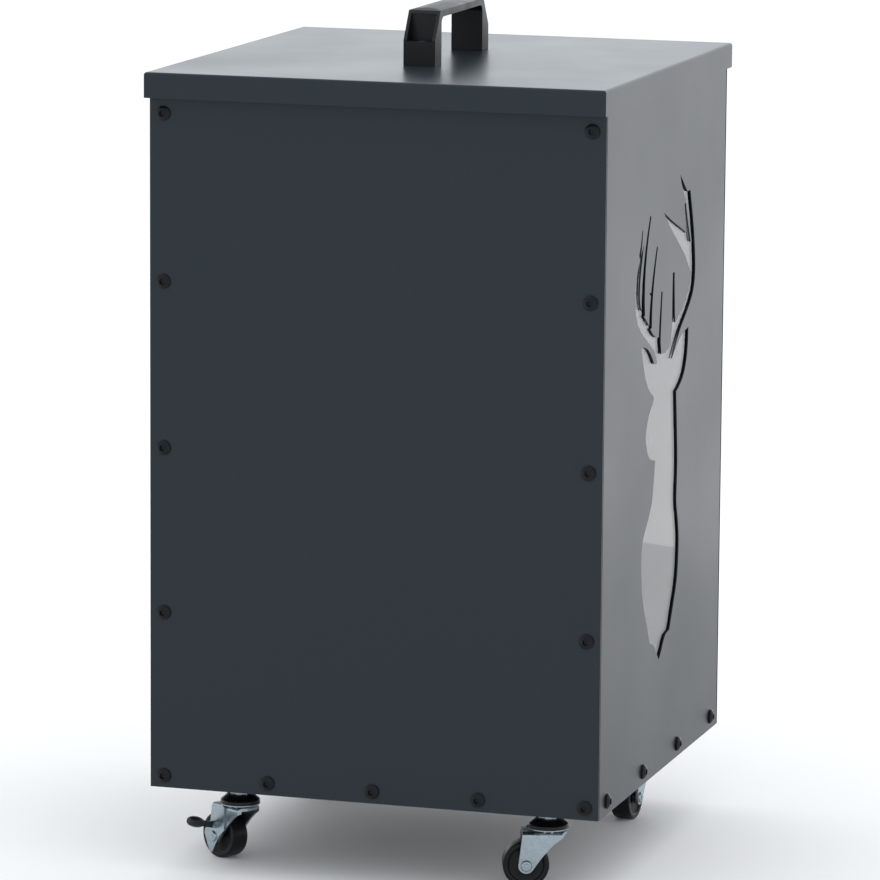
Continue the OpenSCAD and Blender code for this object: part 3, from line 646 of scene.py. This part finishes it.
class BIN_OT_stage(Operator):
    """Sets the bin on a pale floor in soft light, seen from the photograph's angle"""

    bl_idname = "pellet_bin.stage"
    bl_label = "Stage"

    def execute(self, context):
        stage = context.scene.bin_stage
        self.lay_floor(stage)
        self.light_surroundings(context.scene, stage)
        self.stand_side_light(stage)
        self.hang_overhead(stage)
        self.place_camera(context.scene, stage)
        context.scene.view_settings.view_transform = "Standard"
        return {"FINISHED"}

    def lay_floor(self, stage):
        """A plain pale floor, level with the wheels' treads."""
        floor = flat_square("floor", FLOOR_SIZE)
        finish = Finish("floor_paper")
        finish.colour(finish.noise(scale=0.8), stage.floor, brighter(stage.floor, 1.01))
        finish.set(Roughness=0.9, Specular_IOR_Level=0.1)
        floor.data.materials.append(finish.material)

    def light_surroundings(self, scene, stage):
        """A white sky, stronger behind the bin and faintly blue above the horizon."""
        world = bpy.data.worlds.new("studio")
        world.use_nodes = True
        scene.world = world
        nodes = world.node_tree.nodes
        link = world.node_tree.links.new
        sky = nodes["Background"]
        way = nodes.new("ShaderNodeTexCoord").outputs["Generated"]

        facing = nodes.new("ShaderNodeVectorMath")
        facing.operation = "DOT_PRODUCT"
        facing.inputs[1].default_value = AWAY
        link(way, facing.inputs[0])
        strength = nodes.new("ShaderNodeMapRange")
        strength.interpolation_type = "SMOOTHSTEP"
        strength.inputs["From Min"].default_value = SKY_WIDE
        strength.inputs["From Max"].default_value = SKY_NARROW
        strength.inputs["To Min"].default_value = stage.sky_near
        strength.inputs["To Max"].default_value = stage.sky_far
        link(facing.outputs["Value"], strength.inputs["Value"])
        link(strength.outputs["Result"], sky.inputs["Strength"])

        height = nodes.new("ShaderNodeSeparateXYZ")
        link(way, height.inputs["Vector"])
        rise = nodes.new("ShaderNodeMapRange")
        rise.inputs["From Max"].default_value = TINT_HEIGHT
        link(height.outputs["Z"], rise.inputs["Value"])
        tint = nodes.new("ShaderNodeMix")
        tint.data_type = "RGBA"
        tint.inputs["A"].default_value = (1, 1, 1, 1)
        tint.inputs["B"].default_value = (*stage.sky_tint, 1)
        link(rise.outputs["Result"], tint.inputs["Factor"])
        link(tint.outputs["Result"], sky.inputs["Color"])

    def stand_side_light(self, stage):
        """A long soft light on the right, whose foot shows in the pane."""
        along = Vector(SIDE_LIGHT_WAY).normalized()
        up = Vector((0, 0, 1))
        turn = Matrix((along, up, along.cross(up))).transposed().to_4x4()
        half_height = SIDE_LIGHT_SIZE[1] / 2
        middle = Vector(SIDE_LIGHT_FOOT) - along * SIDE_LIGHT_SHIFT + up * half_height
        place = Matrix.Translation(middle) @ turn
        self.soft_light("side_light", SIDE_LIGHT_SIZE, stage.card, place, stage.card_spread)

    def hang_overhead(self, stage):
        """A wide soft light that shines straight down."""
        place = Matrix.Translation(OVERHEAD_PLACE)
        self.soft_light("overhead_light", OVERHEAD_SIZE, stage.overhead, place, FULL_SPREAD)

    def soft_light(self, name, size, power, place, spread):
        """A rectangular light that shines along its own -Z."""
        lamp = bpy.data.lights.new(name, "AREA")
        lamp.shape = "RECTANGLE"
        lamp.size, lamp.size_y = size
        lamp.energy = power
        lamp.spread = spread
        light = bpy.data.objects.new(name, lamp)
        light.matrix_world = place
        bpy.context.scene.collection.objects.link(light)

    def place_camera(self, scene, stage):
        """The camera, at the photograph's place and angle."""
        lens = bpy.data.cameras.new("camera")
        lens.sensor_width = SENSOR_WIDTH
        lens.lens = stage.lens
        lens.clip_start = NEAREST
        lens.clip_end = FARTHEST
        camera = bpy.data.objects.new("camera", lens)
        camera.location = stage.camera_place
        camera.rotation_euler = stage.camera_turn
        scene.collection.objects.link(camera)
        scene.camera = camera


def flat_square(name, size):
    """A level square of the stage, round the origin."""
    shape = bmesh.new()
    bmesh.ops.create_grid(shape, x_segments=1, y_segments=1, size=size / 2)
    mesh = bpy.data.meshes.new(name)
    shape.to_mesh(mesh)
    shape.free()
    made = bpy.data.objects.new(name, mesh)
    bpy.context.scene.collection.objects.link(made)
    return made


class BIN_PT_panel(Panel):
    """Lists the bin's pieces in the sidebar"""

    bl_label = "Pellet Bin"
    bl_idname = "BIN_PT_panel"
    bl_space_type = "VIEW_3D"
    bl_region_type = "UI"
    bl_category = "Pellet Bin"

    def draw(self, context):
        for operator in OPERATORS:
            self.layout.operator(operator.bl_idname)
        for name in SETTINGS:
            group = getattr(context.scene, name)
            box = self.layout.box()
            for key in group.__annotations__:
                box.prop(group, key)


SETTINGS = {
    "bin_coat": CoatSettings,
    "bin_plastic": PlasticSettings,
    "bin_metal": MetalSettings,
    "bin_wheel": WheelSettings,
    "bin_stage": StageSettings,
}
OPERATORS = (
    BIN_OT_sheets, BIN_OT_window, BIN_OT_fasteners, BIN_OT_handle, BIN_OT_castor_heads,
    BIN_OT_wheels, BIN_OT_axles, BIN_OT_brakes, BIN_OT_stage,
)


def register():
    for group in SETTINGS.values():
        bpy.utils.register_class(group)
    for operator in OPERATORS:
        bpy.utils.register_class(operator)
    bpy.utils.register_class(BIN_PT_panel)
    for name, group in SETTINGS.items():
        setattr(bpy.types.Scene, name, PointerProperty(type=group))


def unregister():
    for name in SETTINGS:
        delattr(bpy.types.Scene, name)
    bpy.utils.unregister_class(BIN_PT_panel)
    for operator in reversed(OPERATORS):
        bpy.utils.unregister_class(operator)
    for group in reversed(SETTINGS.values()):
        bpy.utils.unregister_class(group)


def main():
    register()
    bpy.ops.pellet_bin.sheets()
    bpy.ops.pellet_bin.window()
    bpy.ops.pellet_bin.fasteners()
    bpy.ops.pellet_bin.handle()
    bpy.ops.pellet_bin.castor_heads()
    bpy.ops.pellet_bin.wheels()
    bpy.ops.pellet_bin.axles()
    bpy.ops.pellet_bin.brakes()
    bpy.ops.pellet_bin.stage()


if __name__ == "__main__":
    main()
